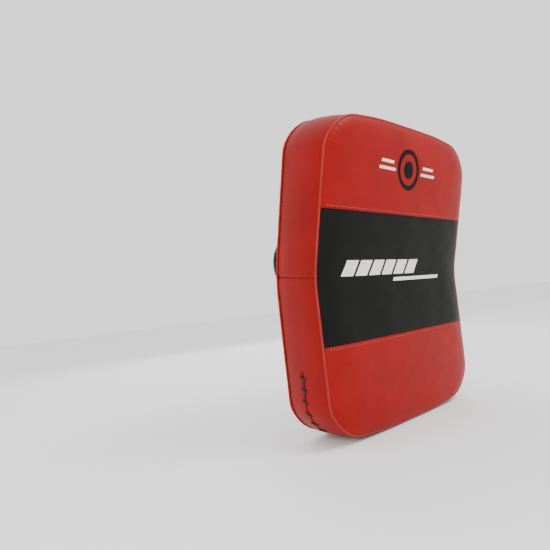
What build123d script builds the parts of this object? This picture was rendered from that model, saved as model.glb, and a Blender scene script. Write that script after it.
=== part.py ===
from build123d import *
import math
import os

# A curved kick shield ("thai pad"): a foam block in a sewn cover that leans forward at mid-height,
# with one carrying handle and two arm handles on its back.
# Millimetres. The pad stands on the flat zone of its bottom gusset. +Z is up, the strike face looks
# towards -Y, and the origin is the middle of that bottom face.

# Driving dimensions of the pad
pad_width = 400.0  # over the side gussets
pad_length = 550.0  # along the mid-depth surface, from bottom gusset to top gusset
seam_depth = 100.0  # front seam to rear seam
gusset_bulge = 5.0  # the gussets stand this far outside the seams
lean = 15.0  # degrees that the upper half leans forward
bend_radius = 220.0  # of the mid-depth surface
corner_radius = 68.0
end_flat = 78.0  # half width of the flat zone of each end
end_drop = 12.0  # fall of the end edge from the flat zone to the corner
shoulder_radius = 300.0  # where the flat zone turns into the falling edge
front_crown = 15.5
front_slope = 45.0  # in-plane width over which the front crown rises
rear_crown = 8.0
rear_slope = 12.0
skin = 2.0  # synthetic leather with its lining
seam_inset = 7.0  # the face panels are this much smaller than the pad all round
black_half = 114.5  # half height of the middle front panel, along the mid-depth surface
welt = 3.0  # height of the piping above the seam

# Foam block
foam_inset = seam_inset + 2.2
strike_foam_base = 20.0  # the soft strike layer ends here, in front of mid-depth
core_foam_base = -25.0  # the core block ends here, behind mid-depth
board_back = -51.5  # back of the rear board, with room for the patches behind it

# Laced opening in the lower gusset
slit_offset = -9.0  # behind mid-depth
slit_width = 3.0
slit_top = 150.0  # distance from mid-length to the slit's upper end
slit_inner_x = 160.0
flap_thickness = 1.5
flap_width = 30.0
lace_pitch = 19.0
lace_first = 162.0  # distance from mid-length to the first stitch
lace_count = 6
lace_radius = 1.3
lace_length = 15.0
lace_slant = 25.0  # degrees

# Handles
tube_radius = 13.0
core_radius = 9.6
core_gap = 0.2
axis_height = 14.5  # root axis above the back panel
knuckle_radius = 12.5
knuckle_half = 7.0
knuckle_room = 2.6  # between the knuckle and the tab's notch
grip_start = 14.8  # along the grip from the root centre, clear of the knuckle
root_setback = 5.0  # root centre from the tab's straight edge, towards the grip
tab_width = 70.0
tab_straight = 15.0  # depth of the tab before its round end
tab_height = 7.0
tongue_width = 28.0
tongue_thickness = 4.1
tongue_reach = 35.0
channel_gap = 0.1
patch_inset = 3.0
patch_top = 2.2  # depths below the outside of the back panel
patch_base = 5.0
rivet_places = ((8.0, 10.0), (8.0, -10.0), (26.0, 0.0))  # from the middle of the tab's straight edge
rivet_head_radius = 4.5
rivet_head_height = 2.3
rivet_head_rim = 0.7
rivet_crown_flat = 0.4
shank_radius = 2.0
shank_gap = 0.1
burr_radius = 4.0
burr_thickness = 1.2

# Working sizes that follow from them
half_width = pad_width / 2
bend_length = bend_radius * math.radians(lean)
half_straight = (pad_length - bend_length) / 2
back_face = -(seam_depth / 2 + rear_crown)
sin_lean = math.sin(math.radians(lean))
cos_lean = math.cos(math.radians(lean))
bend_axis = Axis((0, -bend_radius, half_straight), (1, 0, 0))
bend_end = (0, bend_radius * (cos_lean - 1), half_straight + bend_radius * sin_lean)

# Each half has a plane at its end of the bend: local z points to the strike face, and local y runs away
# from the bend, so that one outline serves both halves.
lower_plane = Plane(origin=(0, 0, half_straight), x_dir=(-1, 0, 0), z_dir=(0, -1, 0))
upper_plane = Plane(origin=bend_end, x_dir=(1, 0, 0), z_dir=(0, -cos_lean, -sin_lean))
bend_middle = Plane(
    origin=(0, -bend_radius, half_straight),
    z_dir=(0, -math.sin(math.radians(lean / 2)), math.cos(math.radians(lean / 2))),
)


def outline_points(inset):
    """Corners of one half of the outline, before rounding, inset all round except at the bend."""
    width = half_width - inset
    length = half_straight - inset
    return [
        (-width, 0),
        (width, 0),
        (width, length - end_drop),
        (end_flat, length),
        (-end_flat, length),
        (-width, length - end_drop),
    ]


def bent_solid(sections):
    """A closed solid that follows the bend, through (offset towards the strike face, inset) sections."""
    halves = []
    for plane in (lower_plane, upper_plane):
        with BuildPart() as half:
            for offset, inset in sections:
                with BuildSketch(plane.offset(offset)) as outline:
                    with BuildLine():
                        Polyline(*outline_points(inset), close=True)
                    make_face()
                    ends = outline.vertices().filter_by_position(Axis.Y, 1, pad_length)
                    corners = [v for v in ends if abs(v.X) > end_flat + 1]
                    shoulders = [v for v in ends if abs(v.X) < end_flat + 1]
                    fillet(corners, corner_radius - inset)
                    fillet(shoulders, shoulder_radius)
            loft(ruled=True)
        halves.append(half.part)
    with BuildPart() as bend:
        with BuildSketch(Plane(lower_plane.origin, x_dir=(1, 0, 0), z_dir=(0, 0, -1))):
            right = [(half_width - inset, offset) for offset, inset in sections]
            left = [(-x, y) for x, y in reversed(right)]
            with BuildLine():
                Polyline(*right, *left, close=True)
            make_face()
        revolve(axis=bend_axis, revolution_arc=lean)
    with BuildPart() as whole:
        add(halves[0])
        add(bend.part)
        add(halves[1])
    return whole.part


def half_cut(plane, distance):
    """The plane that crosses one half squarely, this far from mid-length, facing its end."""
    along = distance - bend_length / 2
    return Plane(plane.origin + plane.y_dir * along, x_dir=plane.x_dir, z_dir=plane.y_dir)


os.makedirs("parts", exist_ok=True)

# Cover: face panels, gussets and piping
front_base = seam_depth / 2
front_face = front_base + front_crown
front_outer = bent_solid([(front_base, seam_inset), (front_face, seam_inset + front_slope)])
front_inner = bent_solid([(front_base, seam_inset + skin), (front_face - skin, seam_inset + front_slope)])

with BuildPart() as front_panel_upper:
    add(front_outer)
    add(front_inner, mode=Mode.SUBTRACT)
    split(bisect_by=half_cut(upper_plane, black_half), keep=Keep.TOP)
front_panel_upper.part.label = "front_panel_upper"
export_step(front_panel_upper.part, "parts/front_panel_upper.step")

with BuildPart() as front_panel_middle:
    add(front_outer)
    add(front_inner, mode=Mode.SUBTRACT)
    split(bisect_by=half_cut(upper_plane, black_half), keep=Keep.BOTTOM)
    split(bisect_by=half_cut(lower_plane, black_half), keep=Keep.BOTTOM)
front_panel_middle.part.label = "front_panel_middle"
export_step(front_panel_middle.part, "parts/front_panel_middle.step")

with BuildPart() as front_panel_lower:
    add(front_outer)
    add(front_inner, mode=Mode.SUBTRACT)
    split(bisect_by=half_cut(lower_plane, black_half), keep=Keep.TOP)
front_panel_lower.part.label = "front_panel_lower"
export_step(front_panel_lower.part, "parts/front_panel_lower.step")

barrel = [(-front_base, gusset_bulge), (-front_base / 2, 0), (front_base / 2, 0), (front_base, gusset_bulge)]
gusset_outer = bent_solid(barrel)
gusset_inner = bent_solid([(offset, inset + skin) for offset, inset in barrel])

with BuildPart() as side_gusset_upper:
    add(gusset_outer)
    add(gusset_inner, mode=Mode.SUBTRACT)
    split(bisect_by=bend_middle, keep=Keep.TOP)
side_gusset_upper.part.label = "side_gusset_upper"
export_step(side_gusset_upper.part, "parts/side_gusset_upper.step")

# The slit runs down the -X side of the lower gusset and round most of its corner.
slit_plane = lower_plane.offset(slit_offset - slit_width / 2)
slit_start = slit_top - bend_length / 2
with BuildPart() as side_gusset_lower:
    add(gusset_outer)
    add(gusset_inner, mode=Mode.SUBTRACT)
    split(bisect_by=bend_middle, keep=Keep.BOTTOM)
    with BuildSketch(slit_plane):
        with Locations((slit_inner_x, slit_start)):
            Rectangle(half_width, half_straight, align=(Align.MIN, Align.MIN))
    extrude(amount=slit_width, mode=Mode.SUBTRACT)
side_gusset_lower.part.label = "side_gusset_lower"
export_step(side_gusset_lower.part, "parts/side_gusset_lower.step")

# A loose strip behind the slit keeps the foam from showing.
flap_edges = (slit_offset - flap_width / 2, slit_offset + flap_width / 2)
flap_outer = bent_solid([(offset, skin + gusset_bulge / 5) for offset in flap_edges])
flap_inner = bent_solid([(offset, skin + gusset_bulge / 5 + flap_thickness) for offset in flap_edges])
with BuildPart() as closure_flap:
    add(flap_outer)
    add(flap_inner, mode=Mode.SUBTRACT)
    split(bisect_by=half_cut(lower_plane, slit_top - flap_width / 2), keep=Keep.TOP)
    split(bisect_by=Plane.YZ.offset(-slit_inner_x + flap_width / 2), keep=Keep.BOTTOM)
closure_flap.part.label = "closure_flap"
export_step(closure_flap.part, "parts/closure_flap.step")

# Lace: stitches across the slit down the side and round the corner, the first ones linked outside.
corner_x = half_width - corner_radius
fall = math.atan2(end_drop, half_width - end_flat)
corner_y = half_straight - (corner_x - end_flat) * math.tan(fall) - corner_radius / math.cos(fall)


def side_point(distance, height):
    """Point and outward angle, in the lower plane, this far from mid-length along the gusset."""
    along = distance - bend_length / 2
    if along <= corner_y:
        return (half_width + height, along, 0.0)
    turn = (along - corner_y) / corner_radius
    reach = corner_radius + height
    return (corner_x + reach * math.cos(turn), corner_y + reach * math.sin(turn), turn)


def lace_run(distance, offset, slant, length):
    """Plane at the near end of one straight run of lace, looking along it."""
    x, y, turn = side_point(distance, lace_radius + 0.1)
    direction = lower_plane.from_local_coords(
        Vector(-math.sin(turn) * math.sin(slant), math.cos(turn) * math.sin(slant), math.cos(slant))
    ) - lower_plane.origin
    middle = lower_plane.from_local_coords(Vector(x, y, offset))
    return Plane(middle - direction * (length / 2), z_dir=direction)


with BuildPart() as closure_lace:
    for number in range(lace_count):
        distance = lace_first + number * lace_pitch
        with BuildSketch(lace_run(distance, slit_offset, math.radians(lace_slant), lace_length)):
            Circle(lace_radius)
        extrude(amount=lace_length)
    for number in range(2):
        distance = lace_first + (number + 0.5) * lace_pitch
        link = lace_pitch - 4 * lace_radius
        with BuildSketch(lace_run(distance, slit_offset, math.pi / 2, link)):
            Circle(lace_radius * 0.7)
        extrude(amount=link)
closure_lace.part.label = "closure_lace"
export_step(closure_lace.part, "parts/closure_lace.step")

rear_outer = bent_solid([(back_face, seam_inset + rear_slope), (-front_base, seam_inset)])
rear_inner = bent_solid([(back_face + skin, seam_inset + rear_slope), (-front_base, seam_inset + skin)])

for name, base, top in (
    ("front_piping", front_base, front_base + welt),
    ("rear_piping", -front_base - welt, -front_base),
):
    ring_outer = bent_solid([(base, seam_inset - welt - 1), (top, seam_inset - welt - 1)])
    ring_inner = bent_solid([(base, seam_inset), (top, seam_inset)])
    with BuildPart() as piping:
        add(ring_outer)
        add(ring_inner, mode=Mode.SUBTRACT)
    piping.part.label = name
    export_step(piping.part, f"parts/{name}.step")

# Foam block: soft strike layer, firm core and a stiff rear board
with BuildPart() as foam_strike_layer:
    add(bent_solid([(strike_foam_base, foam_inset), (front_base, foam_inset)]))
    add(bent_solid([(front_base, foam_inset), (front_face - skin - 0.2, seam_inset + front_slope)]))
foam_strike_layer.part.label = "foam_strike_layer"
export_step(foam_strike_layer.part, "parts/foam_strike_layer.step")

with BuildPart() as foam_core_block:
    add(bent_solid([(core_foam_base, foam_inset), (strike_foam_base, foam_inset)]))
foam_core_block.part.label = "foam_core_block"
export_step(foam_core_block.part, "parts/foam_core_block.step")

with BuildPart() as foam_rear_board:
    add(bent_solid([(board_back, foam_inset + 3), (-front_base + 2, foam_inset), (core_foam_base, foam_inset)]))
foam_rear_board.part.label = "foam_rear_board"
export_step(foam_rear_board.part, "parts/foam_rear_board.step")


# Handles. A root is where the grip meets the pad: its frame lies on the back panel at the middle of the
# tab's straight edge, with local x away from the grip and local z out of the back.
def root_frame(plane, x, distance, away):
    """Frame at x and this distance from mid-length, with its local x along away in (across, up)."""
    along = distance - bend_length / 2
    origin = plane.origin + Vector(x, 0, 0) + plane.y_dir * along + plane.z_dir * back_face
    across, up = away
    x_dir = Vector(across, 0, 0) + plane.y_dir * up
    return Plane(origin, x_dir=x_dir, z_dir=-plane.z_dir)


arm_x = 98.0
arm_distance = 90.0
arm_rise = 103.0
arm_lean = 4.0
carry_distance = 216.0
carry_x = 72.0
carry_rise = 72.0

# name: (frame a, frame b, grip turns as (distance from the nearer root, rise, radius) from a to b, lean)
arm_turns = ((96.0, arm_rise, 54.0), (-42.0, arm_rise, 33.0))
carry_turns = ((45.0, carry_rise, 39.0), (-45.0, carry_rise, 39.0))
handles = {
    "left_handle": (
        root_frame(lower_plane, -arm_x, arm_distance, (0, 1)),
        root_frame(upper_plane, -arm_x, arm_distance, (0, 1)),
        arm_turns,
        -arm_lean,
    ),
    "right_handle": (
        root_frame(lower_plane, arm_x, arm_distance, (0, 1)),
        root_frame(upper_plane, arm_x, arm_distance, (0, 1)),
        arm_turns,
        arm_lean,
    ),
    "top_handle": (
        root_frame(upper_plane, -carry_x, carry_distance, (-1, 0)),
        root_frame(upper_plane, carry_x, carry_distance, (1, 0)),
        carry_turns,
        0.0,
    ),
}


def root_centre(frame):
    """Centre of the knuckle that the grip turns about."""
    return frame.from_local_coords(Vector(-root_setback, 0, axis_height))


def grip_plane(frame_a, frame_b, tilt):
    """Plane of the grip's arch: local x from root a to root b, local y rising off the back."""
    start = root_centre(frame_a)
    along = (root_centre(frame_b) - start).normalized()
    out = (frame_a.z_dir + frame_b.z_dir).normalized()
    side = along.cross(out)
    lean_sign = 1 if side.X > 0 else -1
    rise = out * math.cos(math.radians(tilt)) + side * (lean_sign * math.sin(math.radians(tilt)))
    return Plane(start, x_dir=along, z_dir=along.cross(rise))


back_holes = []
for name, (frame_a, frame_b, turns, tilt) in handles.items():
    arch = grip_plane(frame_a, frame_b, tilt)
    span = (root_centre(frame_b) - root_centre(frame_a)).length
    bends = [Vector(x if x > 0 else span + x, rise) for x, rise, radius in turns]
    far_root = Vector(span, 0)
    start = bends[0].normalized() * grip_start
    end = far_root + (bends[-1] - far_root).normalized() * grip_start
    with BuildLine() as route:
        points = [arch.from_local_coords(point) for point in (start, *bends, end)]
        FilletPolyline(*points, radius=[radius for x, rise, radius in turns])
    start_plane = Plane(route.line @ 0, z_dir=route.line % 0)

    with BuildPart() as grip_cover:
        with BuildSketch(start_plane):
            Circle(tube_radius)
            Circle(core_radius + core_gap, mode=Mode.SUBTRACT)
        sweep(path=route.line)
    grip_cover.part.label = f"{name}_grip_cover"
    export_step(grip_cover.part, f"parts/{name}_grip_cover.step")

    with BuildPart() as grip_core:
        with BuildSketch(start_plane):
            Circle(core_radius)
        sweep(path=route.line)
    grip_core.part.label = f"{name}_grip_core"
    export_step(grip_core.part, f"parts/{name}_grip_core.step")

    with BuildPart() as tongues:
        for frame in (frame_a, frame_b):
            with BuildSketch(frame):
                with Locations((-root_setback, 0)):
                    Rectangle(
                        root_setback + tongue_reach, tongue_width, align=(Align.MIN, Align.CENTER)
                    )
            extrude(amount=tongue_thickness)
            with BuildSketch(Plane(root_centre(frame) - arch.x_dir * knuckle_half, z_dir=arch.x_dir)):
                Circle(knuckle_radius)
            extrude(amount=2 * knuckle_half)
            with BuildSketch(frame):
                with Locations(*rivet_places):
                    Circle(shank_radius + shank_gap)
            extrude(amount=tongue_thickness, mode=Mode.SUBTRACT)
    tongues.part.label = f"{name}_tongues"
    export_step(tongues.part, f"parts/{name}_tongues.step")

    with BuildPart() as patches:
        for frame in (frame_a, frame_b):
            with BuildSketch(frame.offset(-patch_base)):
                with Locations((tab_straight, 0)):
                    Circle(tab_width / 2 - patch_inset)
                with Locations((patch_inset, 0)):
                    Rectangle(
                        tab_straight - patch_inset,
                        tab_width - 2 * patch_inset,
                        align=(Align.MIN, Align.CENTER),
                    )
                with Locations((patch_inset - pad_width, 0)):
                    Rectangle(pad_width, pad_width, align=(Align.MIN, Align.CENTER), mode=Mode.SUBTRACT)
                with Locations(*rivet_places):
                    Circle(shank_radius + shank_gap, mode=Mode.SUBTRACT)
            extrude(amount=patch_base - patch_top)
    patches.part.label = f"{name}_patches"
    export_step(patches.part, f"parts/{name}_patches.step")

    for end, frame in (("a", frame_a), ("b", frame_b)):
        with BuildPart() as tab:
            with BuildSketch(frame):
                with Locations((tab_straight, 0)):
                    Circle(tab_width / 2)
                Rectangle(tab_straight, tab_width, align=(Align.MIN, Align.CENTER))
                Rectangle(pad_width, pad_width, align=(Align.MAX, Align.CENTER), mode=Mode.SUBTRACT)
                Rectangle(
                    2 * (knuckle_half - root_setback + knuckle_room),
                    2 * (knuckle_radius - 1.9),
                    mode=Mode.SUBTRACT,
                )
                with Locations(*rivet_places):
                    Circle(shank_radius + shank_gap, mode=Mode.SUBTRACT)
            extrude(amount=tab_height)
            with BuildSketch(frame):
                Rectangle(
                    tongue_reach + 1,
                    tongue_width + 2 * channel_gap,
                    align=(Align.MIN, Align.CENTER),
                )
            extrude(amount=tongue_thickness + channel_gap, mode=Mode.SUBTRACT)
        tab.part.label = f"{name}_tab_{end}"
        export_step(tab.part, f"parts/{name}_tab_{end}.step")

        with BuildPart() as rivets:
            for x, y in rivet_places:
                foot = frame.from_local_coords(Vector(x, y, 0))
                profile = Plane(foot, x_dir=frame.x_dir, z_dir=-frame.y_dir)
                with BuildSketch(profile):
                    with BuildLine():
                        Polyline(
                            (rivet_crown_flat, tab_height + rivet_head_height),
                            (0, tab_height + rivet_head_height),
                            (0, -patch_base - burr_thickness - shank_gap),
                            (burr_radius, -patch_base - burr_thickness - shank_gap),
                            (burr_radius, -patch_base - shank_gap),
                            (shank_radius, -patch_base - shank_gap),
                            (shank_radius, tab_height),
                            (rivet_head_radius, tab_height),
                            (rivet_head_radius, tab_height + rivet_head_rim),
                        )
                        ThreePointArc(
                            (rivet_head_radius, tab_height + rivet_head_rim),
                            (rivet_head_radius * 0.6, tab_height + rivet_head_height * 0.84),
                            (rivet_crown_flat, tab_height + rivet_head_height),
                        )
                    make_face()
                revolve(axis=Axis(foot, frame.z_dir))
        rivets.part.label = f"{name}_rivets_{end}"
        export_step(rivets.part, f"parts/{name}_rivets_{end}.step")
        back_holes.append(frame)

with BuildPart() as back_panel:
    add(rear_outer)
    add(rear_inner, mode=Mode.SUBTRACT)
    for frame in back_holes:
        with BuildSketch(frame.offset(-2 * skin)):
            with Locations(*rivet_places):
                Circle(shank_radius + shank_gap)
        extrude(amount=4 * skin, mode=Mode.SUBTRACT)
back_panel.part.label = "back_panel"
export_step(back_panel.part, "parts/back_panel.step")
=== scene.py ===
import math

import bpy
import numpy as np
from mathutils import Matrix, Vector


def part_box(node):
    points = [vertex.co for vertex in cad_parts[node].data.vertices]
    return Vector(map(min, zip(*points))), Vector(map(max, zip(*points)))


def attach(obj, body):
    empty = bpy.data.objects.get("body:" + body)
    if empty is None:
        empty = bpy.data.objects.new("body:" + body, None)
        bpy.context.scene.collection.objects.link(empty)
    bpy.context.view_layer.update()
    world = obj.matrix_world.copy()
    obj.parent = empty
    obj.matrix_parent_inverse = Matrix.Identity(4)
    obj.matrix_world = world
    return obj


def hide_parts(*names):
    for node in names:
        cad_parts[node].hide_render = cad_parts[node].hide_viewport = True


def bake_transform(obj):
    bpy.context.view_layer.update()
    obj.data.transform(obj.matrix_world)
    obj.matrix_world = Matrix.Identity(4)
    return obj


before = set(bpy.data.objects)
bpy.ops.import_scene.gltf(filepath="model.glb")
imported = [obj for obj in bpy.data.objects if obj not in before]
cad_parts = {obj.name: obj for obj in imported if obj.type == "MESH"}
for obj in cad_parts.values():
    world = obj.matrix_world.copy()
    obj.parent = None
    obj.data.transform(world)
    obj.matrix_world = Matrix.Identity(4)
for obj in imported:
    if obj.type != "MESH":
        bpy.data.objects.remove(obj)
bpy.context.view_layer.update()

# A curved kick shield. Lengths are in millimetres until place() or Root.at() turns them into metres.
# u runs across the pad, s along its mid-depth surface from mid-length, and out towards its back.
MM = 0.001
PAD_HALF_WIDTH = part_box("side_gusset_upper")[1].x / MM
SEAM_HALF_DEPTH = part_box("side_gusset_lower")[1].y / MM
FRONT_CROWN = -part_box("front_panel_lower")[0].y / MM - SEAM_HALF_DEPTH
REAR_CROWN = 8.0
PAD_HALF_LENGTH = 275.0
BEND_RADIUS = 220.0
LEAN = math.radians(15)
CORNER_RADIUS = 68.0
END_FLAT = 78.0
END_DROP = 12.0
SEAM_INSET = 5.0
SIDE_BOW = 0.015  # the ends are this much narrower than the middle
BLACK_HALF = 114.5
SKIN = 1.8
FRONT_EDGE = 70.0  # width over which the front crown rounds up from its seam
REAR_EDGE = 28.0
EDGE_SHARE = 0.74  # of the front crown that rises at the seam; the rest is a dome over the whole face
SOFT_CROWN = FRONT_CROWN - 1.0  # leaves room for the unevenness of the leather

BEND_LENGTH = BEND_RADIUS * LEAN
HALF_STRAIGHT = PAD_HALF_LENGTH - BEND_LENGTH / 2

# Handles, as in the CAD model
ARM_X = 98.0
ARM_DISTANCE = 90.0
CARRY_X = 72.0
CARRY_DISTANCE = 216.0
AXIS_HEIGHT = 14.5
ROOT_SETBACK = 5.0
TUBE_RADIUS = 13.6
TAB_WIDTH = 70.0
TAB_STRAIGHT = 15.0


def place(u, s, out):
    """Points of the bent pad, in metres in the row frame."""
    u, s, out = np.broadcast_arrays(np.asarray(u, float), np.asarray(s, float), np.asarray(out, float))
    turn = np.clip((s + BEND_LENGTH / 2) / BEND_RADIUS, 0, LEAN)
    below = np.minimum(s + BEND_LENGTH / 2, 0)
    above = np.maximum(s - BEND_LENGTH / 2, 0)
    y = -BEND_RADIUS + (BEND_RADIUS + out) * np.cos(turn) - above * np.sin(turn)
    z = HALF_STRAIGHT + (BEND_RADIUS + out) * np.sin(turn) + above * np.cos(turn) + below
    return np.stack([u, y, z], -1) * MM


def smoothstep(low, high, x):
    t = np.clip((x - low) / (high - low), 0, 1)
    return t * t * (3 - 2 * t)


def ripple(x, y, wavelength, seed, waves=7):
    """A smooth random field of about unit height, made of plane waves near this wavelength."""
    rng = np.random.default_rng(seed)
    total = np.zeros(np.broadcast(x, y).shape)
    for _ in range(waves):
        angle = rng.uniform(0, math.tau)
        k = math.tau / (wavelength * rng.uniform(0.7, 1.6))
        total = total + np.sin(k * (x * math.cos(angle) + y * math.sin(angle)) + rng.uniform(0, math.tau))
    return total / math.sqrt(waves)


def outline_map(a, b):
    """Maps the square -1..1 to the seam outline: (u, s, distance to the seam, way along the seam)."""
    a, b = np.broadcast_arrays(np.asarray(a, float), np.asarray(b, float))
    width = PAD_HALF_WIDTH - SEAM_INSET
    length = PAD_HALF_LENGTH - SEAM_INSET
    radius = CORNER_RADIUS - SEAM_INSET
    u, s = np.abs(a) * width, np.abs(b) * length
    p = np.clip((u - (width - radius)) / radius, 0, 1)
    q = np.clip((s - (length - radius)) / radius, 0, 1)
    u = np.where(p > 0, width - radius + radius * p * np.sqrt(1 - q * q / 2), u)
    s = np.where(q > 0, length - radius + radius * q * np.sqrt(1 - p * p / 2), s)
    qu, qs = u - (width - radius), s - (length - radius)
    edge = radius - np.hypot(np.maximum(qu, 0), np.maximum(qs, 0)) - np.minimum(np.maximum(qu, qs), 0)
    corner = np.arctan2(np.maximum(qs, 0), np.maximum(qu, 1e-6))
    round_corner = length - radius + radius * corner
    along = np.where(qs <= 0, s, round_corner)
    along = np.where((qu <= 0) & (qs > qu), length - radius + radius * math.pi / 2 - qu, along)
    slope = END_DROP / (PAD_HALF_WIDTH - END_FLAT)
    past = u - END_FLAT
    drop = slope * 0.5 * (past + np.sqrt(past * past + 18.0**2))
    s = s - drop * smoothstep(0.5, 1.0, np.abs(b))
    u = u * (1 - SIDE_BOW * (s / length) ** 2)
    quadrant = (a > 0) * 2 + (b > 0)
    return u * np.sign(a), s * np.sign(b), edge, along + quadrant * 4000.0


def roundness(t, power=2.3):
    """Height from 0 to 1 of a padded edge, t being the share of its width crossed."""
    return np.sqrt(1 - (1 - np.clip(t, 0, 1)) ** power)


def puckers(edge, along, height, reach, seed):
    """Small gathers that the seam stitching draws into the skin, fading with distance from the seam."""
    strength = 0.45 + 0.55 * ripple(along, 0 * along, 90, seed)
    waves = np.sin(along * math.tau / 11.0 + 2.0 * ripple(along, 0 * along, 60, seed + 1))
    waves = waves + 0.5 * np.sin(along * math.tau / 6.3 + 1.0)
    return height * strength * waves * np.exp(-np.maximum(edge, 0) / reach)


def front_height(u, s, edge, along):
    """Height of the strike face in front of its seam."""
    dome = (1 - (u / PAD_HALF_WIDTH) ** 2) * (1 - (s / PAD_HALF_LENGTH) ** 2)
    crown = EDGE_SHARE * roundness(edge / FRONT_EDGE) + (1 - EDGE_SHARE) * dome
    soft = 0.55 * ripple(u, s, 120, 11) + 0.22 * ripple(u, s, 46, 12)
    settle = smoothstep(0, 40, edge)
    gathers = puckers(edge, along, 0.38, 13.0, 13) * smoothstep(0, 4, edge)
    return SOFT_CROWN * crown + soft * settle + gathers


def back_height(u, s, edge, along):
    """Height of the back panel behind its seam."""
    soft = 0.28 * ripple(u, s, 110, 21)
    gathers = puckers(edge, along, 0.35, 11.0, 22) * smoothstep(0, 4, edge)
    return REAR_CROWN * roundness(edge / REAR_EDGE) + soft * smoothstep(0, 30, edge) + gathers


def edge_at(u, s):
    """Distance to the seam and way along it at a point well inside the outline."""
    b = np.asarray(s, float) / (PAD_HALF_LENGTH - SEAM_INSET)
    a = np.asarray(u, float) / (PAD_HALF_WIDTH - SEAM_INSET)
    return outline_map(a, b)[2:]


# ---------------------------------------------------------------- mesh helpers


def new_object(name, points, faces):
    """A smooth-shaded mesh object in the scene, from points in metres."""
    mesh = bpy.data.meshes.new(name)
    mesh.from_pydata([tuple(p) for p in points], [], faces)
    mesh.validate()
    mesh.shade_smooth()
    piece = bpy.data.objects.new(name, mesh)
    bpy.context.scene.collection.objects.link(piece)
    return piece


def grid_faces(rows, columns, wrap=False, first=0):
    """Quads of a grid of points, row by row, closed across its columns if wrap is set."""
    across = columns if wrap else columns - 1
    faces = []
    for r in range(rows - 1):
        for c in range(across):
            d = (c + 1) % columns
            faces.append(
                (
                    first + r * columns + c,
                    first + r * columns + d,
                    first + (r + 1) * columns + d,
                    first + (r + 1) * columns + c,
                )
            )
    return faces


def grid_object(name, points, flip=False, skip=None):
    """An open sheet from an array of points [row, column, xyz]; skip marks quads to leave out."""
    rows, columns = points.shape[:2]
    faces = grid_faces(rows, columns)
    if skip is not None:
        faces = [face for face, out in zip(faces, skip.ravel()) if not out]
    if flip:
        faces = [face[::-1] for face in faces]
    return new_object(name, points.reshape(-1, 3), faces)


def apply_modifiers(piece):
    """Makes the shape that the modifiers give the piece's own mesh."""
    graph = bpy.context.evaluated_depsgraph_get()
    mesh = bpy.data.meshes.new_from_object(piece.evaluated_get(graph))
    piece.modifiers.clear()
    old = piece.data
    piece.data = mesh
    bpy.data.meshes.remove(old)
    for polygon in mesh.polygons:
        polygon.use_smooth = True
    return piece


def thicken(piece, thickness=SKIN, smooth_levels=1):
    """Gives a sheet its leather thickness, inwards, and rounds it by subdivision."""
    solid = piece.modifiers.new("skin", "SOLIDIFY")
    solid.thickness = thickness * MM
    solid.offset = -1
    rounder = piece.modifiers.new("round", "SUBSURF")
    rounder.levels = rounder.render_levels = smooth_levels
    return apply_modifiers(piece)


def merge(name, parts):
    """One mesh object from (points, faces) pairs."""
    points, faces, first = [], [], 0
    for part_points, part_faces in parts:
        points.extend(part_points)
        faces.extend(tuple(first + i for i in face) for face in part_faces)
        first += len(part_points)
    return new_object(name, points, faces)


def tube(path, radius, sides=12, squash=None, lateral=None, closed=False, relief=None):
    """(points, faces) of a tube along path, in the path's units. squash gives (half width, half
    thickness) at each point, with the width along lateral, and relief scales each [point, side]."""
    path = np.asarray(path, float)
    count = len(path)
    if closed:
        tangent = np.roll(path, -1, 0) - np.roll(path, 1, 0)
    else:
        tangent = np.gradient(path, axis=0)
    tangent /= np.linalg.norm(tangent, axis=1)[:, None]
    if lateral is None:
        side = np.zeros_like(tangent)
        previous = np.cross(tangent[0], (0.37, 0.61, 0.7))
        previous /= np.linalg.norm(previous)
        for i in range(count):
            previous = previous - tangent[i] * (previous @ tangent[i])
            previous /= np.linalg.norm(previous)
            side[i] = previous
    else:
        side = np.broadcast_to(np.asarray(lateral, float), path.shape)
        side = side - tangent * np.sum(side * tangent, 1)[:, None]
        side /= np.linalg.norm(side, axis=1)[:, None]
    up = np.cross(tangent, side)
    sizes = np.full((count, 2), radius) if squash is None else np.asarray(squash, float)
    angles = np.arange(sides) * math.tau / sides
    ring = side[:, None] * (np.cos(angles)[None, :, None] * sizes[:, None, :1])
    ring = ring + up[:, None] * (np.sin(angles)[None, :, None] * sizes[:, None, 1:])
    if relief is not None:
        ring = ring * relief[:, :, None]
    points = (path[:, None] + ring).reshape(-1, 3)
    faces = grid_faces(count, sides, wrap=True)
    if closed:
        last = (count - 1) * sides
        faces += [(last + c, last + (c + 1) % sides, (c + 1) % sides, c) for c in range(sides)]
    else:
        faces.append(tuple(range(sides))[::-1])
        faces.append(tuple(range((count - 1) * sides, count * sides)))
    return list(points), faces


def stitch(start, end, lift, thickness=0.45):
    """(points, faces) of one visible thread between two holes, bowed by lift, all in metres."""
    start, end, lift = np.asarray(start), np.asarray(end), np.asarray(lift)
    t = np.linspace(0, 1, 7)[:, None]
    bow = 1 - (2 * t - 1) ** 4
    path = start * (1 - t) + end * t + lift * bow
    slim = thickness * MM * (0.55 + 0.45 * (1 - (2 * t - 1) ** 4))
    return tube(path, 0, sides=6, squash=np.hstack([slim, slim]))


# ---------------------------------------------------------------- materials


def principled(name):
    """(material, nodes, links, Principled shader) of a new material."""
    material = bpy.data.materials.new(name)
    material.use_nodes = True
    nodes, links = material.node_tree.nodes, material.node_tree.links
    return material, nodes, links, nodes["Principled BSDF"]


def node(nodes, kind, **inputs):
    """A new shader node with these input values."""
    made = nodes.new(kind)
    for key, value in inputs.items():
        made.inputs[key.replace("_", " ")].default_value = value
    return made


def linear(colour):
    """sRGB 0-255 to the linear colour that a shader takes."""
    return tuple((c / 255) ** 2.2 for c in colour) + (1.0,)


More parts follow.
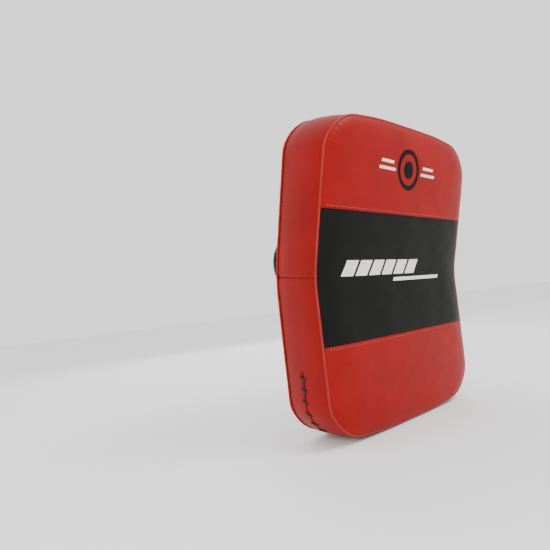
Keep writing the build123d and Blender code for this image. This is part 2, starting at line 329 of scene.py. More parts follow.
def leather(name, colour, deep, roughness, grain=700.0, grain_depth=0.22, specular=0.5):
    """Synthetic leather: fine pebbled grain with pores, soft colour blotches and uneven sheen."""
    material, nodes, links, shader = principled(name)
    where = nodes.new("ShaderNodeTexCoord")
    clouds = node(nodes, "ShaderNodeTexNoise", Scale=14.0, Detail=5.0, Roughness=0.6)
    cells = node(nodes, "ShaderNodeTexVoronoi", Scale=grain)
    cells.feature = "DISTANCE_TO_EDGE"
    fine = node(nodes, "ShaderNodeTexNoise", Scale=grain * 2.2, Detail=3.0, Roughness=0.55)
    warp = node(nodes, "ShaderNodeTexNoise", Scale=grain * 0.35, Detail=2.0)
    warped = nodes.new("ShaderNodeVectorMath")
    warped.operation = "MULTIPLY_ADD"
    warped.inputs[1].default_value = (0.0012, 0.0012, 0.0012)
    for texture in (clouds, fine, warp):
        links.new(where.outputs["Object"], texture.inputs["Vector"])
    links.new(warp.outputs["Color"], warped.inputs[0])
    links.new(where.outputs["Object"], warped.inputs[2])
    links.new(warped.outputs[0], cells.inputs["Vector"])

    tint = nodes.new("ShaderNodeValToRGB")
    tint.color_ramp.elements[0].position, tint.color_ramp.elements[0].color = 0.32, linear(deep)
    tint.color_ramp.elements[1].position, tint.color_ramp.elements[1].color = 0.68, linear(colour)
    links.new(clouds.outputs["Fac"], tint.inputs["Fac"])
    pore = nodes.new("ShaderNodeMapRange")
    pore.inputs["From Max"].default_value = 0.16
    pore.inputs["To Min"].default_value = 0.80
    links.new(cells.outputs["Distance"], pore.inputs["Value"])
    shaded = nodes.new("ShaderNodeMix")
    shaded.data_type, shaded.blend_type = "RGBA", "MULTIPLY"
    shaded.inputs["Factor"].default_value = 1.0
    links.new(tint.outputs["Color"], shaded.inputs[6])
    links.new(pore.outputs["Result"], shaded.inputs[7])
    links.new(shaded.outputs[2], shader.inputs["Base Color"])

    rough = nodes.new("ShaderNodeMapRange")
    rough.inputs["To Min"].default_value = roughness - 0.06
    rough.inputs["To Max"].default_value = roughness + 0.08
    links.new(clouds.outputs["Fac"], rough.inputs["Value"])
    links.new(rough.outputs["Result"], shader.inputs["Roughness"])

    height = nodes.new("ShaderNodeMath")
    height.operation = "MULTIPLY_ADD"
    height.inputs[1].default_value = 0.35
    links.new(fine.outputs["Fac"], height.inputs[0])
    links.new(pore.outputs["Result"], height.inputs[2])
    bump = node(nodes, "ShaderNodeBump", Strength=grain_depth, Distance=0.0006)
    links.new(height.outputs[0], bump.inputs["Height"])
    links.new(bump.outputs["Normal"], shader.inputs["Normal"])
    shader.inputs["Specular IOR Level"].default_value = specular
    return material


def thread(name, colour):
    """Twisted thread or waxed lace: a fine diagonal ridge over a slightly mottled colour."""
    material, nodes, links, shader = principled(name)
    where = nodes.new("ShaderNodeTexCoord")
    strands = node(nodes, "ShaderNodeTexWave", Scale=433.0, Distortion=2.0, Detail=1.0)
    strands.bands_direction = "DIAGONAL"
    mottle = node(nodes, "ShaderNodeTexNoise", Scale=600.0, Detail=3.0)
    links.new(where.outputs["Object"], strands.inputs["Vector"])
    links.new(where.outputs["Object"], mottle.inputs["Vector"])
    tint = nodes.new("ShaderNodeValToRGB")
    tint.color_ramp.elements[0].color = linear([c * 0.7 for c in colour])
    tint.color_ramp.elements[1].color = linear(colour)
    links.new(mottle.outputs["Fac"], tint.inputs["Fac"])
    links.new(tint.outputs["Color"], shader.inputs["Base Color"])
    bump = node(nodes, "ShaderNodeBump", Strength=0.5, Distance=0.0003)
    links.new(strands.outputs["Fac"], bump.inputs["Height"])
    links.new(bump.outputs["Normal"], shader.inputs["Normal"])
    shader.inputs["Roughness"].default_value = 0.6
    return material


def polished_metal(name):
    """Nickel-plated rivet caps with faint scuffs and dull patches."""
    material, nodes, links, shader = principled(name)
    where = nodes.new("ShaderNodeTexCoord")
    scuffs = node(nodes, "ShaderNodeTexNoise", Scale=900.0, Detail=4.0, Roughness=0.7)
    links.new(where.outputs["Object"], scuffs.inputs["Vector"])
    rough = nodes.new("ShaderNodeMapRange")
    rough.inputs["To Min"].default_value, rough.inputs["To Max"].default_value = 0.12, 0.34
    links.new(scuffs.outputs["Fac"], rough.inputs["Value"])
    links.new(rough.outputs["Result"], shader.inputs["Roughness"])
    tint = nodes.new("ShaderNodeValToRGB")
    tint.color_ramp.elements[0].color = linear((168, 164, 156))
    tint.color_ramp.elements[1].color = linear((232, 230, 224))
    links.new(scuffs.outputs["Fac"], tint.inputs["Fac"])
    links.new(tint.outputs["Color"], shader.inputs["Base Color"])
    bump = node(nodes, "ShaderNodeBump", Strength=0.12, Distance=0.0002)
    links.new(scuffs.outputs["Fac"], bump.inputs["Height"])
    links.new(bump.outputs["Normal"], shader.inputs["Normal"])
    shader.inputs["Metallic"].default_value = 1.0
    return material


def foam(name, colour, cell):
    """Foam: small open cells in a matt colour."""
    material, nodes, links, shader = principled(name)
    where = nodes.new("ShaderNodeTexCoord")
    cells = node(nodes, "ShaderNodeTexVoronoi", Scale=cell)
    links.new(where.outputs["Object"], cells.inputs["Vector"])
    tint = nodes.new("ShaderNodeValToRGB")
    tint.color_ramp.elements[0].color = linear([c * 0.75 for c in colour])
    tint.color_ramp.elements[1].color = linear(colour)
    links.new(cells.outputs["Distance"], tint.inputs["Fac"])
    links.new(tint.outputs["Color"], shader.inputs["Base Color"])
    bump = node(nodes, "ShaderNodeBump", Strength=0.6, Distance=0.0006)
    links.new(cells.outputs["Distance"], bump.inputs["Height"])
    links.new(bump.outputs["Normal"], shader.inputs["Normal"])
    shader.inputs["Roughness"].default_value = 0.9
    return material


MATERIALS = {
    "front_red": leather(
        "red_front", (146, 6, 5), (132, 4, 3), roughness=0.40, grain=480.0, grain_depth=0.34, specular=0.16
    ),
    "back_red": leather(
        "red_back", (150, 8, 6), (137, 5, 4), roughness=0.36, grain=480.0, grain_depth=0.3, specular=0.2
    ),
    "gusset_red": leather(
        "red_gusset", (142, 6, 5), (126, 4, 3), roughness=0.44, grain=480.0, grain_depth=0.3, specular=0.13
    ),
    "panel_black": leather(
        "black_panel", (20, 20, 18), (13, 13, 12), roughness=0.42, grain=480.0, specular=0.13
    ),
    # The welts' red leather is made lighter and pinker than the panels' red: a painted highlight of the
    # light along their ridges.
    "piping_red": leather(
        "red_piping_painted_highlight", (160, 30, 24), (142, 22, 18), roughness=0.38, grain=1100.0, specular=0.3
    ),
    # The strip behind the laced slit takes a much darker red than the rest of the cover: painted shade
    # inside the slit.
    "flap_red": leather(
        "red_flap_painted_shade", (84, 8, 7), (66, 6, 5), roughness=0.6
    ),
    "grip_leather": leather(
        "black_grip", (9, 9, 9), (5, 5, 5), roughness=0.24, grain=520.0, specular=0.22
    ),
    "tab_leather": leather(
        "black_tab", (14, 15, 15), (9, 10, 10), roughness=0.26, grain=560.0, specular=0.3
    ),
    "lace_black": thread("lace_cord", (22, 21, 20)),
    "red_thread": thread("red_stitching", (226, 96, 84)),
    "dark_thread": thread("dark_stitching", (104, 106, 103)),
    "rivet_nickel": polished_metal("nickel"),
    "white_print": leather(
        "white_vinyl", (236, 234, 228), (224, 221, 214), roughness=0.35, grain_depth=0.15
    ),
    "black_print": leather(
        "black_vinyl", (10, 10, 10), (7, 7, 7), roughness=0.4, grain_depth=0.15, specular=0.12
    ),
    "strike_foam": foam("soft_foam", (226, 220, 200), 700.0),
    "core_foam": foam("firm_foam", (190, 194, 200), 1100.0),
    "rear_board": foam("board_foam", (92, 94, 98), 1400.0),
}


def finish_piece(piece, material, body="pad", replaces=()):
    """Gives a piece its material, its body and the CAD nodes that it stands for."""
    piece.data.materials.clear()
    piece.data.materials.append(MATERIALS[material])
    if body is not None:
        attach(piece, body)
    if replaces:
        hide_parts(*replaces)
    return piece


# ---------------------------------------------------------------- face panels

ACROSS = np.sin(np.linspace(-math.pi / 2, math.pi / 2, 141) * 0.999) / math.sin(math.pi / 2 * 0.999)
CUT = BLACK_HALF / (PAD_HALF_LENGTH - SEAM_INSET)
FOLD = 9.0  # width of the turned-under edge of the red front panels
FOLD_HEIGHT = 1.3
TUCK = 5.0  # the black panel runs this far under them
BLACK_SINK = 0.5  # and lies this much lower


def end_rows(first, last, count):
    """Row positions that crowd together near the seam at the end."""
    t = np.linspace(0, 1, count)
    return first + (last - first) * np.sin(t * math.pi / 2)


def fold_relief(s, edge):
    """Height of a red front panel's folded edge, and of the groove of its topstitching."""
    past = np.abs(s) - BLACK_HALF
    sunk = 1 - 0.75 * smoothstep(FOLD - 2, FOLD + 3, past)
    return FOLD_HEIGHT * roundness(past / 2.0) * sunk * smoothstep(0, 14, edge)


def front_point(u, s, edge, along, lift):
    """World points on the strike face, lifted off it."""
    return place(u, s, -(SEAM_HALF_DEPTH + front_height(u, s, edge, along) + lift))


def front_panel(name, rows, material, lift, cad_node):
    """One padded front panel; lift gives its height over the common crown at (s, edge)."""
    a, b = np.meshgrid(ACROSS, rows)
    u, s, edge, along = outline_map(a, b)
    points = front_point(u, s, edge, along, lift(s, edge))
    piece = grid_object(name, points)
    thicken(piece)
    finish_piece(piece, material, replaces=[cad_node])


tuck = TUCK / (PAD_HALF_LENGTH - SEAM_INSET)
upper_rows = end_rows(CUT, 1, 52)
front_panel("cover_front_upper", upper_rows, "front_red", fold_relief, "front_panel_upper")
front_panel("cover_front_lower", -upper_rows[::-1], "front_red", fold_relief, "front_panel_lower")
front_panel(
    "cover_front_middle",
    np.linspace(-CUT - tuck, CUT + tuck, 88),
    "panel_black",
    lambda s, edge: -BLACK_SINK - FOLD_HEIGHT * smoothstep(BLACK_HALF - 3, BLACK_HALF + 2, np.abs(s)),
    "front_panel_middle",
)

a, b = np.meshgrid(ACROSS, np.sin(np.linspace(-math.pi / 2, math.pi / 2, 181)))
u, s, edge, along = outline_map(a, b)
back_points = place(u, s, SEAM_HALF_DEPTH + back_height(u, s, edge, along))
cover_back = grid_object("cover_back", back_points, flip=True)
thicken(cover_back)
finish_piece(cover_back, "back_red", replaces=["back_panel"])


# ---------------------------------------------------------------- foam inside the cover


def foam_layer(name, material, near, far, cad_node):
    """A closed block of foam between two depth functions of (u, s, edge, along)."""
    a, b = np.meshgrid(np.linspace(-1, 1, 41), np.linspace(-1, 1, 57))
    u, s, edge, along = outline_map(a, b)
    shrink = 1 - 4.0 / PAD_HALF_WIDTH
    levels = [place(u * shrink, s * shrink, side(u, s, edge, along)) for side in (near, far)]
    rows, columns = a.shape
    count = rows * columns
    faces = grid_faces(rows, columns) + [face[::-1] for face in grid_faces(rows, columns, first=count)]
    rim = [c for c in range(columns)] + [r * columns + columns - 1 for r in range(1, rows)]
    rim += [(rows - 1) * columns + c for c in range(columns - 2, -1, -1)]
    rim += [r * columns for r in range(rows - 2, 0, -1)]
    for i, j in zip(rim, rim[1:] + rim[:1]):
        faces.append((i, count + i, count + j, j))
    piece = new_object(name, np.concatenate([level.reshape(-1, 3) for level in levels]), faces)
    finish_piece(piece, material, replaces=[cad_node])


def under_front(u, s, edge, along):
    return -(SEAM_HALF_DEPTH - 4 + 0.9 * np.maximum(front_height(u, s, edge, along), 0))


def under_back(u, s, edge, along):
    return SEAM_HALF_DEPTH - 6 + 0.6 * back_height(u, s, edge, along)


foam_layer("foam_strike", "strike_foam", under_front, lambda *at: -20.0, "foam_strike_layer")
foam_layer("foam_core", "core_foam", lambda *at: -19.5, lambda *at: 24.5, "foam_core_block")
foam_layer("foam_board", "rear_board", lambda *at: 25.0, under_back, "foam_rear_board")


# ---------------------------------------------------------------- side gussets, with the laced slit

SLIT_DEPTH = 3.0
SLIT_HALF = 0.9
SLIT_TOP = 150.0
SLIT_INNER_X = 160.0
LACE_FIRST = 162.0
LACE_PITCH = 19.0
LACE_COUNT = 6
LACE_LINKS = 2
LACE_HALF_LENGTH = 7.5
LACE_SLANT = math.radians(25)
LACE_RADIUS = 1.7
GUSSET_BULGE = 5.0


def seam_loop(count):
    """The seam outline as (u, s) points from mid-length on the -X side, down and round, with its
    outward normals and the distance walked."""
    t = np.linspace(0, 8, count, endpoint=False)
    a = np.interp(t, [0, 1, 3, 5, 7, 8], [-1, -1, 1, 1, -1, -1])
    b = np.interp(t, [0, 1, 3, 5, 7, 8], [0, -1, -1, 1, 1, 0])
    u, s, edge, along = outline_map(a, b)
    points = np.stack([u, s], 1)
    for _ in range(2):
        steps = np.linalg.norm(np.roll(points, -1, 0) - points, axis=1)
        walked = np.concatenate([[0], np.cumsum(steps)])
        even = np.linspace(0, walked[-1], count, endpoint=False)
        closed = np.vstack([points, points[:1]])
        points = np.stack([np.interp(even, walked, closed[:, i]) for i in (0, 1)], 1)
    ahead = np.roll(points, -2, 0) - np.roll(points, 2, 0)
    normal = np.stack([ahead[:, 1], -ahead[:, 0]], 1)
    normal /= np.linalg.norm(normal, axis=1)[:, None]
    normal *= np.sign(np.sum(normal * points, 1))[:, None]
    return points, normal, even


LOOP_COUNT = 720
LOOP, LOOP_NORMAL, LOOP_WALK = seam_loop(LOOP_COUNT)
LOOP_LENGTH = LOOP_WALK[1] * LOOP_COUNT
SLIT_END = LOOP_WALK[np.argmax((LOOP[:, 0] > -SLIT_INNER_X) & (LOOP_WALK > 200))]


def gusset_out(walk, depth):
    """How far the gusset stands outside the seam outline."""
    bulge = GUSSET_BULGE * (1 - np.abs(depth / SEAM_HALF_DEPTH) ** 2.5)
    seam = SEAM_HALF_DEPTH - np.abs(depth)
    gathers = puckers(seam, walk, 0.32, 12.0, 31) * smoothstep(0, 4, seam)
    soft = 0.4 * ripple(walk, depth, 95, 32) * smoothstep(0, 25, seam) - 0.45
    on_slit = smoothstep(SLIT_TOP - 8, SLIT_TOP + 2, walk)
    on_slit = on_slit * (1 - smoothstep(SLIT_END - 2, SLIT_END + 8, walk))
    lip = -0.8 * np.exp(-(((depth - SLIT_DEPTH) / 3.2) ** 2)) * on_slit
    pull = 0.35 * np.sin((walk - LACE_FIRST + LACE_PITCH / 2) * math.tau / LACE_PITCH) * on_slit
    pull = pull * np.exp(-(((depth - SLIT_DEPTH) / 11) ** 2))
    end = np.minimum(np.abs(walk % (LOOP_LENGTH / 2)), LOOP_LENGTH / 2 - walk % (LOOP_LENGTH / 2))
    crossing = -0.9 * np.exp(-((end / 2.0) ** 2))
    rest = smoothstep(PAD_HALF_LENGTH - 30, PAD_HALF_LENGTH - 8, -np.interp(walk, LOOP_WALK, LOOP[:, 1]))
    return bulge + (gathers + soft) * (1 - 0.55 * rest) + lip + pull + crossing


def loop_at(walk, outward, depth):
    """World points at this distance along the seam outline, this far outside it, at this depth."""
    walk = np.asarray(walk, float) % LOOP_LENGTH
    wrap = np.append(LOOP_WALK, LOOP_LENGTH)
    at = [np.interp(walk, wrap, np.append(column, column[0])) for column in (*LOOP.T, *LOOP_NORMAL.T)]
    return place(at[0] + at[2] * outward, at[1] + at[3] * outward, depth)


def gusset(name, first, last, count, slit, cad_node):
    front, rear = SLIT_DEPTH - 1, SLIT_DEPTH + 1
    before = np.append(np.linspace(-SEAM_HALF_DEPTH, SLIT_DEPTH - 4, 32), [SLIT_DEPTH - 2, front])
    after = np.append([rear, SLIT_DEPTH + 2], np.linspace(SLIT_DEPTH + 4, SEAM_HALF_DEPTH, 29))
    depths = np.append(before, after)
    walk, depth = np.meshgrid(np.linspace(first, last, count), depths)
    if slit:
        taper = np.clip((walk - SLIT_TOP) / 10, 0, 1) * np.clip((SLIT_END - walk) / 10, 0, 1)
        opening = 0.2 + (SLIT_HALF - 0.2) * np.sqrt(taper)
        depth = np.where(depth == front, SLIT_DEPTH - opening, depth)
        depth = np.where(depth == rear, SLIT_DEPTH + opening, depth)
    points = loop_at(walk, gusset_out(walk % LOOP_LENGTH, depth), depth)
    skip = np.zeros((len(depths) - 1, count - 1), bool)
    if slit:
        row = len(before) - 1
        skip[row] = (walk[row, :-1] > SLIT_TOP) & (walk[row, 1:] < SLIT_END)
    piece = grid_object(name, points, flip=True, skip=skip)
    thicken(piece)
    finish_piece(piece, "gusset_red", replaces=[cad_node])
    return piece


half_loop = LOOP_LENGTH / 2
gusset("gusset_lower", 0.0, half_loop, 420, True, "side_gusset_lower")
gusset("gusset_upper", half_loop, LOOP_LENGTH, 420, False, "side_gusset_upper")

# The loose strip behind the slit, its red darkened as painted shade inside the slit
FLAP_HALF = 15.0
flap_walk = np.linspace(SLIT_TOP - 14, SLIT_END + 14, 90)
flap_depth = np.linspace(SLIT_DEPTH - FLAP_HALF, SLIT_DEPTH + FLAP_HALF, 16)
walk, depth = np.meshgrid(flap_walk, flap_depth)
flap_out = gusset_out(walk, depth) - 3.6 + 0.5 * ripple(walk, depth, 40, 41)
slit_flap = grid_object("slit_flap", loop_at(walk, flap_out, depth), flip=True)
thicken(slit_flap, 1.2)
finish_piece(slit_flap, "flap_red", replaces=["closure_flap"])

# The tight lace: slanted stitches over the slit, the first of them linked outside


def lace_run(start, end, radius, lift):
    """(points, faces) of a lace lying on the gusset from start to end, given as (walk, depth)."""
    t = np.linspace(0, 1, 17)
    walk = start[0] + (end[0] - start[0]) * t
    depth = start[1] + (end[1] - start[1]) * t
    dive = lift * (1 - (2 * t - 1) ** 6) - 1.4 * (2 * t - 1) ** 6
    beside = SLIT_DEPTH + np.where(depth < SLIT_DEPTH, -6.0, 6.0)
    base = np.maximum(gusset_out(walk, depth), gusset_out(walk, beside) - 0.4)
    return tube(loop_at(walk, base + dive, depth), radius * MM, sides=10)


lace = []
for number in range(LACE_COUNT):
    middle = LACE_FIRST + LACE_PITCH * number
    reach_walk = LACE_HALF_LENGTH * math.sin(LACE_SLANT)
    reach_depth = LACE_HALF_LENGTH * math.cos(LACE_SLANT)
    front_end = (middle + reach_walk, SLIT_DEPTH - reach_depth)
    rear_end = (middle - reach_walk, SLIT_DEPTH + reach_depth)
    lace.append(lace_run(front_end, rear_end, LACE_RADIUS, 1.1))
for number in range(LACE_LINKS):
    middle = LACE_FIRST + LACE_PITCH * (number + 0.5)
    lace.append(lace_run((middle - 9, SLIT_DEPTH), (middle + 9, SLIT_DEPTH), 0.9, 0.5))
finish_piece(merge("slit_lace", lace), "lace_black", replaces=["closure_lace"])


# ---------------------------------------------------------------- welts and topstitching

for name, side, cad_node in (("welt_front", -1, "front_piping"), ("welt_rear", 1, "rear_piping")):
    walk = np.linspace(0, LOOP_LENGTH, 900, endpoint=False)
    wobble = 0.12 * ripple(walk, 0 * walk, 30, 50 + side)
    path = loop_at(walk, 0.4 + wobble, side * (SEAM_HALF_DEPTH + 0.7))
    size = np.stack([1.75 + 0.1 * ripple(walk, 0 * walk, 9, 55)] * 2, 1) * MM
    welt = merge(name, [tube(path, 0, sides=14, squash=size, closed=True)])
    finish_piece(welt, "piping_red", replaces=[cad_node])


def topstitch(name, material, point, length, pitch=6.0, share=0.62):
    """A row of stitches along point(distance) -> (position, outward unit vector)."""
    parts = []
    for number in range(int(length / pitch)):
        start, out = point(number * pitch)
        end = point(number * pitch + pitch * share)[0]
        parts.append(stitch(start, end, out * 0.35 * MM))
    return finish_piece(merge(name, parts), material)


STITCH_INSET = 5.0


def back_seam(distance):
    """Where the back panel's topstitching runs, a little inside the welt, and its outward direction."""
    height = SEAM_HALF_DEPTH + REAR_CROWN * roundness(STITCH_INSET / REAR_EDGE) + 0.3
    here = loop_at(distance, -STITCH_INSET, height)
    return here, (loop_at(distance, -STITCH_INSET, 60) - loop_at(distance, -STITCH_INSET, 50)) * 100


topstitch("stitches_back_seam", "red_thread", back_seam, LOOP_LENGTH, pitch=6.2)

for name, level in (("upper", BLACK_HALF + 5.0), ("lower", -BLACK_HALF - 5.0)):

    def across(distance, level=level):
        half = PAD_HALF_WIDTH - SEAM_INSET
        u = distance - half + 8
        edge, along = edge_at(u, level)
        here = front_point(u, level, edge, along, fold_relief(level, edge) + 0.2)
        return here, (front_point(u, level, edge, along, 10) - here) * 100

    length = 2 * (PAD_HALF_WIDTH - SEAM_INSET) - 16
    topstitch(f"stitches_fold_{name}", "red_thread", across, length, pitch=5.6)


# ---------------------------------------------------------------- plain printed marks


def front_mark(name, material, patches, lift=0.3):
    """Thin printed shapes on the strike face; each patch is an array [row, column, (u, s)]."""
    parts = []
    for patch in patches:
        u, s = patch[..., 0], patch[..., 1]
        edge, along = edge_at(u, s)
        on_black = np.abs(s) < BLACK_HALF
        height = np.where(on_black, lift - BLACK_SINK, lift + fold_relief(s, edge))
        points = front_point(u, s, edge, along, height)
        parts.append((list(points.reshape(-1, 3)), grid_faces(*patch.shape[:2])))
    return finish_piece(merge(name, parts), material)


def slanted_bar(centre, length, height, slant=0.35):
    """A bar with slanted ends, as a patch of (u, s) points."""
    t, w = np.meshgrid(np.linspace(-0.5, 0.5, 60), np.linspace(-0.5, 0.5, 9))
    return np.stack([centre[0] + t * length + w * height * slant, centre[1] + w * height], -1)


def ring_patch(centre, inner, outer, squeeze=0.82):
    """A flattened ring or, with no inner radius, a disc."""
    angle, radius = np.meshgrid(np.linspace(math.tau, 0, 73), np.linspace(inner, outer, 5))
    return np.stack([centre[0] + radius * np.cos(angle), centre[1] + squeeze * radius * np.sin(angle)], -1)


def block_row(centre, length, height, count):
    """A row of slanted blocks, as patches of (u, s) points."""
    pitch = length / count
    first = centre[0] - (length - pitch) / 2
    return [slanted_bar((first + i * pitch, centre[1]), pitch * 0.84, height) for i in range(count)]


blocks = block_row((-54, 18), 190, 34, 6)
front_mark("mark_middle", "white_print", blocks + [slanted_bar((44, -12), 140, 9)])
BADGE = (-3, 196)
front_mark("mark_badge", "black_print", [ring_patch(BADGE, 23, 30, 1.2), ring_patch(BADGE, 0.5, 13, 1.2)])
bars = []
for side in (-1, 1):
    for step in (0, 1):
        centre = (BADGE[0] + side * 57, BADGE[1] - 4 + 12 * step)
        bars.append(slanted_bar(centre, 42 - 10 * step, 5))
front_mark("mark_badge_wings", "white_print", bars)


def back_mark(name, patches, lift=0.3):
    """Thin printed shapes on the back panel; each patch is an array [row, column, (s, u)]."""
    parts = []
    for patch in patches:
        u, s = patch[..., 1], patch[..., 0]
        edge, along = edge_at(u, s)
        points = place(u, s, SEAM_HALF_DEPTH + back_height(u, s, edge, along) + lift)
        parts.append((list(points.reshape(-1, 3)), grid_faces(*patch.shape[:2])))
    return finish_piece(merge(name, parts), "white_print")


back_mark("mark_back", block_row((6, -8), 316, 46, 7) + [slanted_bar((-128, 27), 150, 11)])


# ---------------------------------------------------------------- handles and their tabs


class Root:
    """Where a handle's end is riveted on: origin on the back panel, away from the grip, across, normal."""

    def __init__(self, half, x, distance, away_across, away_up):
        turn = LEAN if half > 0 else 0.0
        self.origin = place(x, half * distance, SEAM_HALF_DEPTH + REAR_CROWN)
        self.normal = np.array([0, math.cos(turn), math.sin(turn)])
        up = np.array([0, -math.sin(turn), math.cos(turn)]) * half
        self.away = np.array([away_across, 0, 0]) + up * away_up
        self.lateral = np.cross(self.normal, self.away)
        self.centre = self.at(-ROOT_SETBACK, 0, AXIS_HEIGHT)

    def at(self, x, y, height):
        x, y, height = np.broadcast_arrays(np.asarray(x, float), y, height)
        offset = x[..., None] * self.away + y[..., None] * self.lateral + height[..., None] * self.normal
        return self.origin + offset * MM


def rounded_polyline(points, radii, step=2.5):
    """A polyline with its inner corners rounded, sampled evenly."""
    points = [np.asarray(p, float) for p in points]
    path = [points[0]]
    for before, corner, after, radius in zip(points, points[1:], points[2:], radii):
        back, on = before - corner, after - corner
        back, on = back / np.linalg.norm(back), on / np.linalg.norm(on)
        half = math.acos(float(np.clip(back @ on, -1, 1))) / 2
        reach = radius / math.tan(half)
        bisector = (back + on) / np.linalg.norm(back + on)
        centre = corner + bisector * radius / math.sin(half)
        first, last = corner + back * reach - centre, corner + on * reach - centre
        total = math.acos(float(np.clip(first @ last / radius**2, -1, 1)))
        for t in np.linspace(0, 1, 16):
            blend = (math.sin((1 - t) * total) * first + math.sin(t * total) * last) / math.sin(total)
            path.append(centre + blend)
    path.append(points[-1])
    path = np.array(path)
    walked = np.concatenate([[0], np.cumsum(np.linalg.norm(np.diff(path, axis=0), axis=1))])
    even = np.linspace(0, walked[-1], int(walked[-1] / step) + 1)
    return np.stack([np.interp(even, walked, path[:, i]) for i in range(path.shape[1])], 1)


def turn_up(root, target, direction, steps=26):
    """The grip's path from the tip of its tongue, under the tab and up to target on the arch."""
    flat = [root.at(x, 0, 2.3) for x in np.linspace(33, 9, 9)]
    p0 = root.at(8, 0, 2.3)
    p1 = p0 - root.away * 11 * MM
    p3 = target
    p2 = p3 - direction * 17 * MM
    curve = []
    for t in np.linspace(0, 1, steps, endpoint=False):
        curve.append((1 - t) ** 3 * p0 + 3 * t * (1 - t) ** 2 * p1 + 3 * t * t * (1 - t) * p2 + t**3 * p3)
    return flat + curve


def arch_of(root_a, root_b, turns, tilt):
    """(sampled points of the arch, rise direction, its plane's side direction)."""
    along = root_b.centre - root_a.centre
    span = np.linalg.norm(along) / MM
    along = along / np.linalg.norm(along)
    out = root_a.normal + root_b.normal
    out = out / np.linalg.norm(out)
    side = np.cross(along, out)
    sign = 1 if side[0] > 0 else -1
    rise = out * math.cos(math.radians(tilt)) + side * sign * math.sin(math.radians(tilt))
    corners = [(0, 0)] + [(x if x > 0 else span + x, h) for x, h, radius in turns] + [(span, 0)]
    flat = rounded_polyline(corners, [radius for x, h, radius in turns])
    keep = (flat[:, 1] > 17) | ((flat[:, 0] > 40) & (flat[:, 0] < span - 40))
    points = root_a.centre + flat[keep][:, :1] * along * MM + flat[keep][:, 1:] * rise * MM
    return points, rise, np.cross(along, rise)


PATH_SMOOTHING = 14


def build_grip(name, root_a, root_b, turns, tilt, seed):
    """A rolled leather grip that flattens into a tongue at each end and bends at its roots."""
    arch, rise, side = arch_of(root_a, root_b, turns, tilt)
    start = turn_up(root_a, arch[0], (arch[1] - arch[0]) / np.linalg.norm(arch[1] - arch[0]))
    end = turn_up(root_b, arch[-1], (arch[-2] - arch[-1]) / np.linalg.norm(arch[-2] - arch[-1]))
    path = np.array(start + list(arch) + end[::-1])
    for _ in range(PATH_SMOOTHING):
        path[9:-9] += 0.5 * ((path[8:-10] + path[10:-8]) / 2 - path[9:-9])
    walked = np.concatenate([[0], np.cumsum(np.linalg.norm(np.diff(path, axis=0), axis=1))]) / MM
    from_end = np.minimum(walked, walked[-1] - walked)
    grow = smoothstep(32, 62, from_end)
    half_width = 14 + (TUBE_RADIUS - 14) * grow
    half_thick = 2.0 + (TUBE_RADIUS - 2.0) * grow
    sides = 40
    angle = np.arange(sides) * math.tau / sides
    step, turn = np.meshgrid(walked, angle, indexing="ij")
    bends = np.zeros(len(path))
    tangent = np.gradient(path, axis=0)
    tangent /= np.linalg.norm(tangent, axis=1)[:, None]
    bends[1:-1] = np.linalg.norm(tangent[2:] - tangent[:-2], axis=1)
    bends = np.convolve(bends, np.ones(7) / 7, mode="same")
    strength = np.clip(bends / 0.08, 0, 1.4)[:, None] * grow[:, None]
    inner = np.clip(-np.sin(turn) * np.sign(seed), 0, 1) ** 0.7
    folds = np.clip(np.sin(step * math.tau / 10.5 + 1.3 * np.sin(turn * 2)), 0, 1) ** 2
    creases = -0.034 * strength * inner * folds
    lumps = 0.012 * ripple(step, turn * 13, 38, abs(seed)) * grow[:, None]
    seam = -0.03 * np.exp(-(((turn - math.pi * (1.5 if seed > 0 else 0.5)) / 0.09) ** 2)) * grow[:, None]
    size = np.stack([half_width, half_thick], 1) * MM
    across = root_a.lateral if abs(root_a.lateral @ side) > 0.5 else side
    parts = [tube(path, 0, sides=sides, squash=size, lateral=across, relief=1 + creases + lumps + seam)]
    grip = merge(f"{name}_grip", parts)
    rounder = grip.modifiers.new("round", "SUBSURF")
    rounder.levels = rounder.render_levels = 1
    apply_modifiers(grip)
    cad = [f"{name}_grip_cover", f"{name}_grip_core", f"{name}_tongues"]
    finish_piece(grip, "grip_leather", body=None, replaces=cad)
    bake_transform(grip)


def tab_height_at(x, y):
    """Height of a tab's top over the back panel, with the tongue's bump down its middle."""
    bump = (1 - smoothstep(13.5, 21, np.abs(y))) * (1 - smoothstep(34, 43, x))
    return 3.0 + 4.0 * bump


TAB_THICKNESS = 2.9
TAB_STITCH_INSET = 4.2


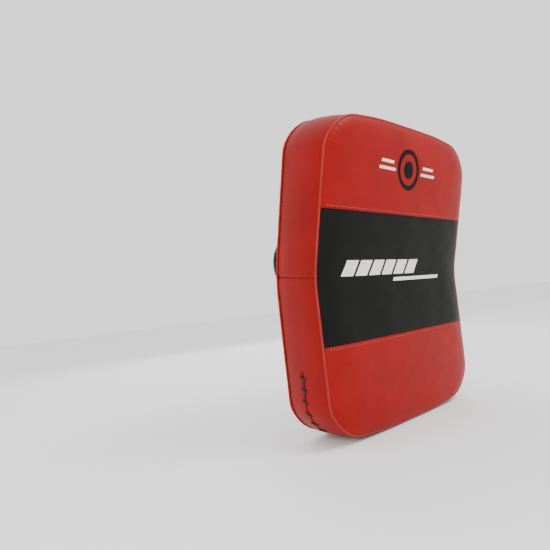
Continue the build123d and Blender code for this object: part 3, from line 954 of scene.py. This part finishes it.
def build_tab(name, root, cad_node):
    """A D-shaped leather tab over the tongue, with its row of stitches."""
    half = TAB_WIDTH / 2
    y, t = np.meshgrid(half * np.sin(np.linspace(-math.pi / 2, math.pi / 2, 61)), np.linspace(0, 1, 53))
    reach = TAB_STRAIGHT + np.sqrt(np.maximum(half * half - y * y, 0))
    x = reach * np.sin(t * math.pi / 2)
    rim = np.where(x > TAB_STRAIGHT, half - np.hypot(x - TAB_STRAIGHT, y), half - np.abs(y))
    rim = np.minimum(rim, x)
    stitched = -0.35 * np.exp(-(((rim - TAB_STITCH_INSET) / 1.1) ** 2))
    top = tab_height_at(x, y) - 0.9 * (1 - roundness(rim / 2.2)) + stitched + 0.12 * ripple(x, y, 24, 61)
    piece = grid_object(name, root.at(x, y, top), flip=True)
    thicken(piece, TAB_THICKNESS)
    finish_piece(piece, "tab_leather", replaces=[cad_node])

    radius = half - TAB_STITCH_INSET
    straight = TAB_STRAIGHT - TAB_STITCH_INSET
    length = 2 * straight + math.pi * radius + 2 * radius

    def line(distance):
        walk = distance % length
        if walk < straight:
            spot = (TAB_STITCH_INSET + walk, -radius)
        elif walk < straight + math.pi * radius:
            angle = (walk - straight) / radius - math.pi / 2
            spot = (TAB_STRAIGHT + radius * math.cos(angle), radius * math.sin(angle))
        elif walk < 2 * straight + math.pi * radius:
            spot = (TAB_STRAIGHT - (walk - straight - math.pi * radius), radius)
        else:
            spot = (TAB_STITCH_INSET, radius - (walk - 2 * straight - math.pi * radius))
        return root.at(spot[0], spot[1], tab_height_at(*spot) - 0.15), root.normal

    topstitch(f"{name}_stitches", "dark_thread", line, length, pitch=5.2)


ARM_TURNS = ((96.0, 103.0, 54.0), (-42.0, 103.0, 33.0))
CARRY_TURNS = ((45.0, 72.0, 39.0), (-45.0, 72.0, 39.0))
ARM_LEAN = 6  # degrees outwards


def arm_roots(x):
    return [Root(half, x, ARM_DISTANCE, 0, 1) for half in (-1, 1)]


# name: (root a, root b, turns of the grip's path, lean, seed), a turn being (distance from the nearer
# root, rise, radius)
HANDLES = {
    "left_handle": (*arm_roots(-ARM_X), ARM_TURNS, -ARM_LEAN, 5),
    "right_handle": (*arm_roots(ARM_X), ARM_TURNS, ARM_LEAN, 6),
    "top_handle": (
        Root(1, -CARRY_X, CARRY_DISTANCE, -1, 0),
        Root(1, CARRY_X, CARRY_DISTANCE, 1, 0),
        CARRY_TURNS,
        0,
        7,
    ),
}
for name, (root_a, root_b, turns, tilt, seed) in HANDLES.items():
    build_grip(name, root_a, root_b, turns, tilt, seed)
    for end, root in (("a", root_a), ("b", root_b)):
        build_tab(f"{name}_leather_{end}", root, f"{name}_tab_{end}")

for name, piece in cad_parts.items():
    if "rivets" in name:
        piece.data.materials.clear()
        piece.data.materials.append(MATERIALS["rivet_nickel"])
        for polygon in piece.data.polygons:
            polygon.use_smooth = True
    elif "patches" in name:
        piece.data.materials.clear()
        piece.data.materials.append(MATERIALS["tab_leather"])


# ---------------------------------------------------------------- floor, light and camera

floor_mesh = bpy.data.meshes.new("floor")
floor_mesh.from_pydata([(-60, -60, 0), (60, -60, 0), (60, 60, 0), (-60, 60, 0)], [], [(0, 1, 2, 3)])
floor = bpy.data.objects.new("floor", floor_mesh)
bpy.context.scene.collection.objects.link(floor)
floor_material, floor_nodes, floor_links, floor_shader = principled("pale_floor")
floor_shader.inputs["Base Color"].default_value = (0.9, 0.9, 0.9, 1)
floor_shader.inputs["Roughness"].default_value = 0.85
floor_mesh.materials.append(floor_material)

world = bpy.data.worlds.new("studio")
world.use_nodes = True
world.node_tree.nodes["Background"].inputs["Color"].default_value = (1, 1, 1, 1)
world.node_tree.nodes["Background"].inputs["Strength"].default_value = 1.45
bpy.context.scene.world = world


def soft_light(name, place_at, aim, size, power):
    """A large square area light turned towards aim."""
    lamp = bpy.data.lights.new(name, "AREA")
    lamp.size = size
    lamp.energy = power
    light = bpy.data.objects.new(name, lamp)
    light.location = place_at
    light.rotation_euler = (Vector(aim) - Vector(place_at)).to_track_quat("-Z", "Y").to_euler()
    bpy.context.scene.collection.objects.link(light)


MIDDLE = (0, 0, 0.28)
soft_light("key", (0.5, -1.7, 2.1), MIDDLE, 0.9, 34)
soft_light("side", (-1.9, -0.9, 1.2), MIDDLE, 0.7, 15)
soft_light("back", (1.1, 2.2, 1.4), MIDDLE, 1.5, 24)

camera_data = bpy.data.cameras.new("camera")
camera_data.lens = 28.605
camera_data.shift_x = -0.1755
camera = bpy.data.objects.new("camera", camera_data)
bpy.context.scene.collection.objects.link(camera)
camera.matrix_world = Matrix(
    (
        (0.68207, 0.03810, -0.73030, -0.6284),
        (-0.72181, -0.12521, -0.68067, -0.5735),
        (-0.11738, 0.99140, -0.05791, 0.2242),
        (0, 0, 0, 1),
    )
)
bpy.context.scene.camera = camera
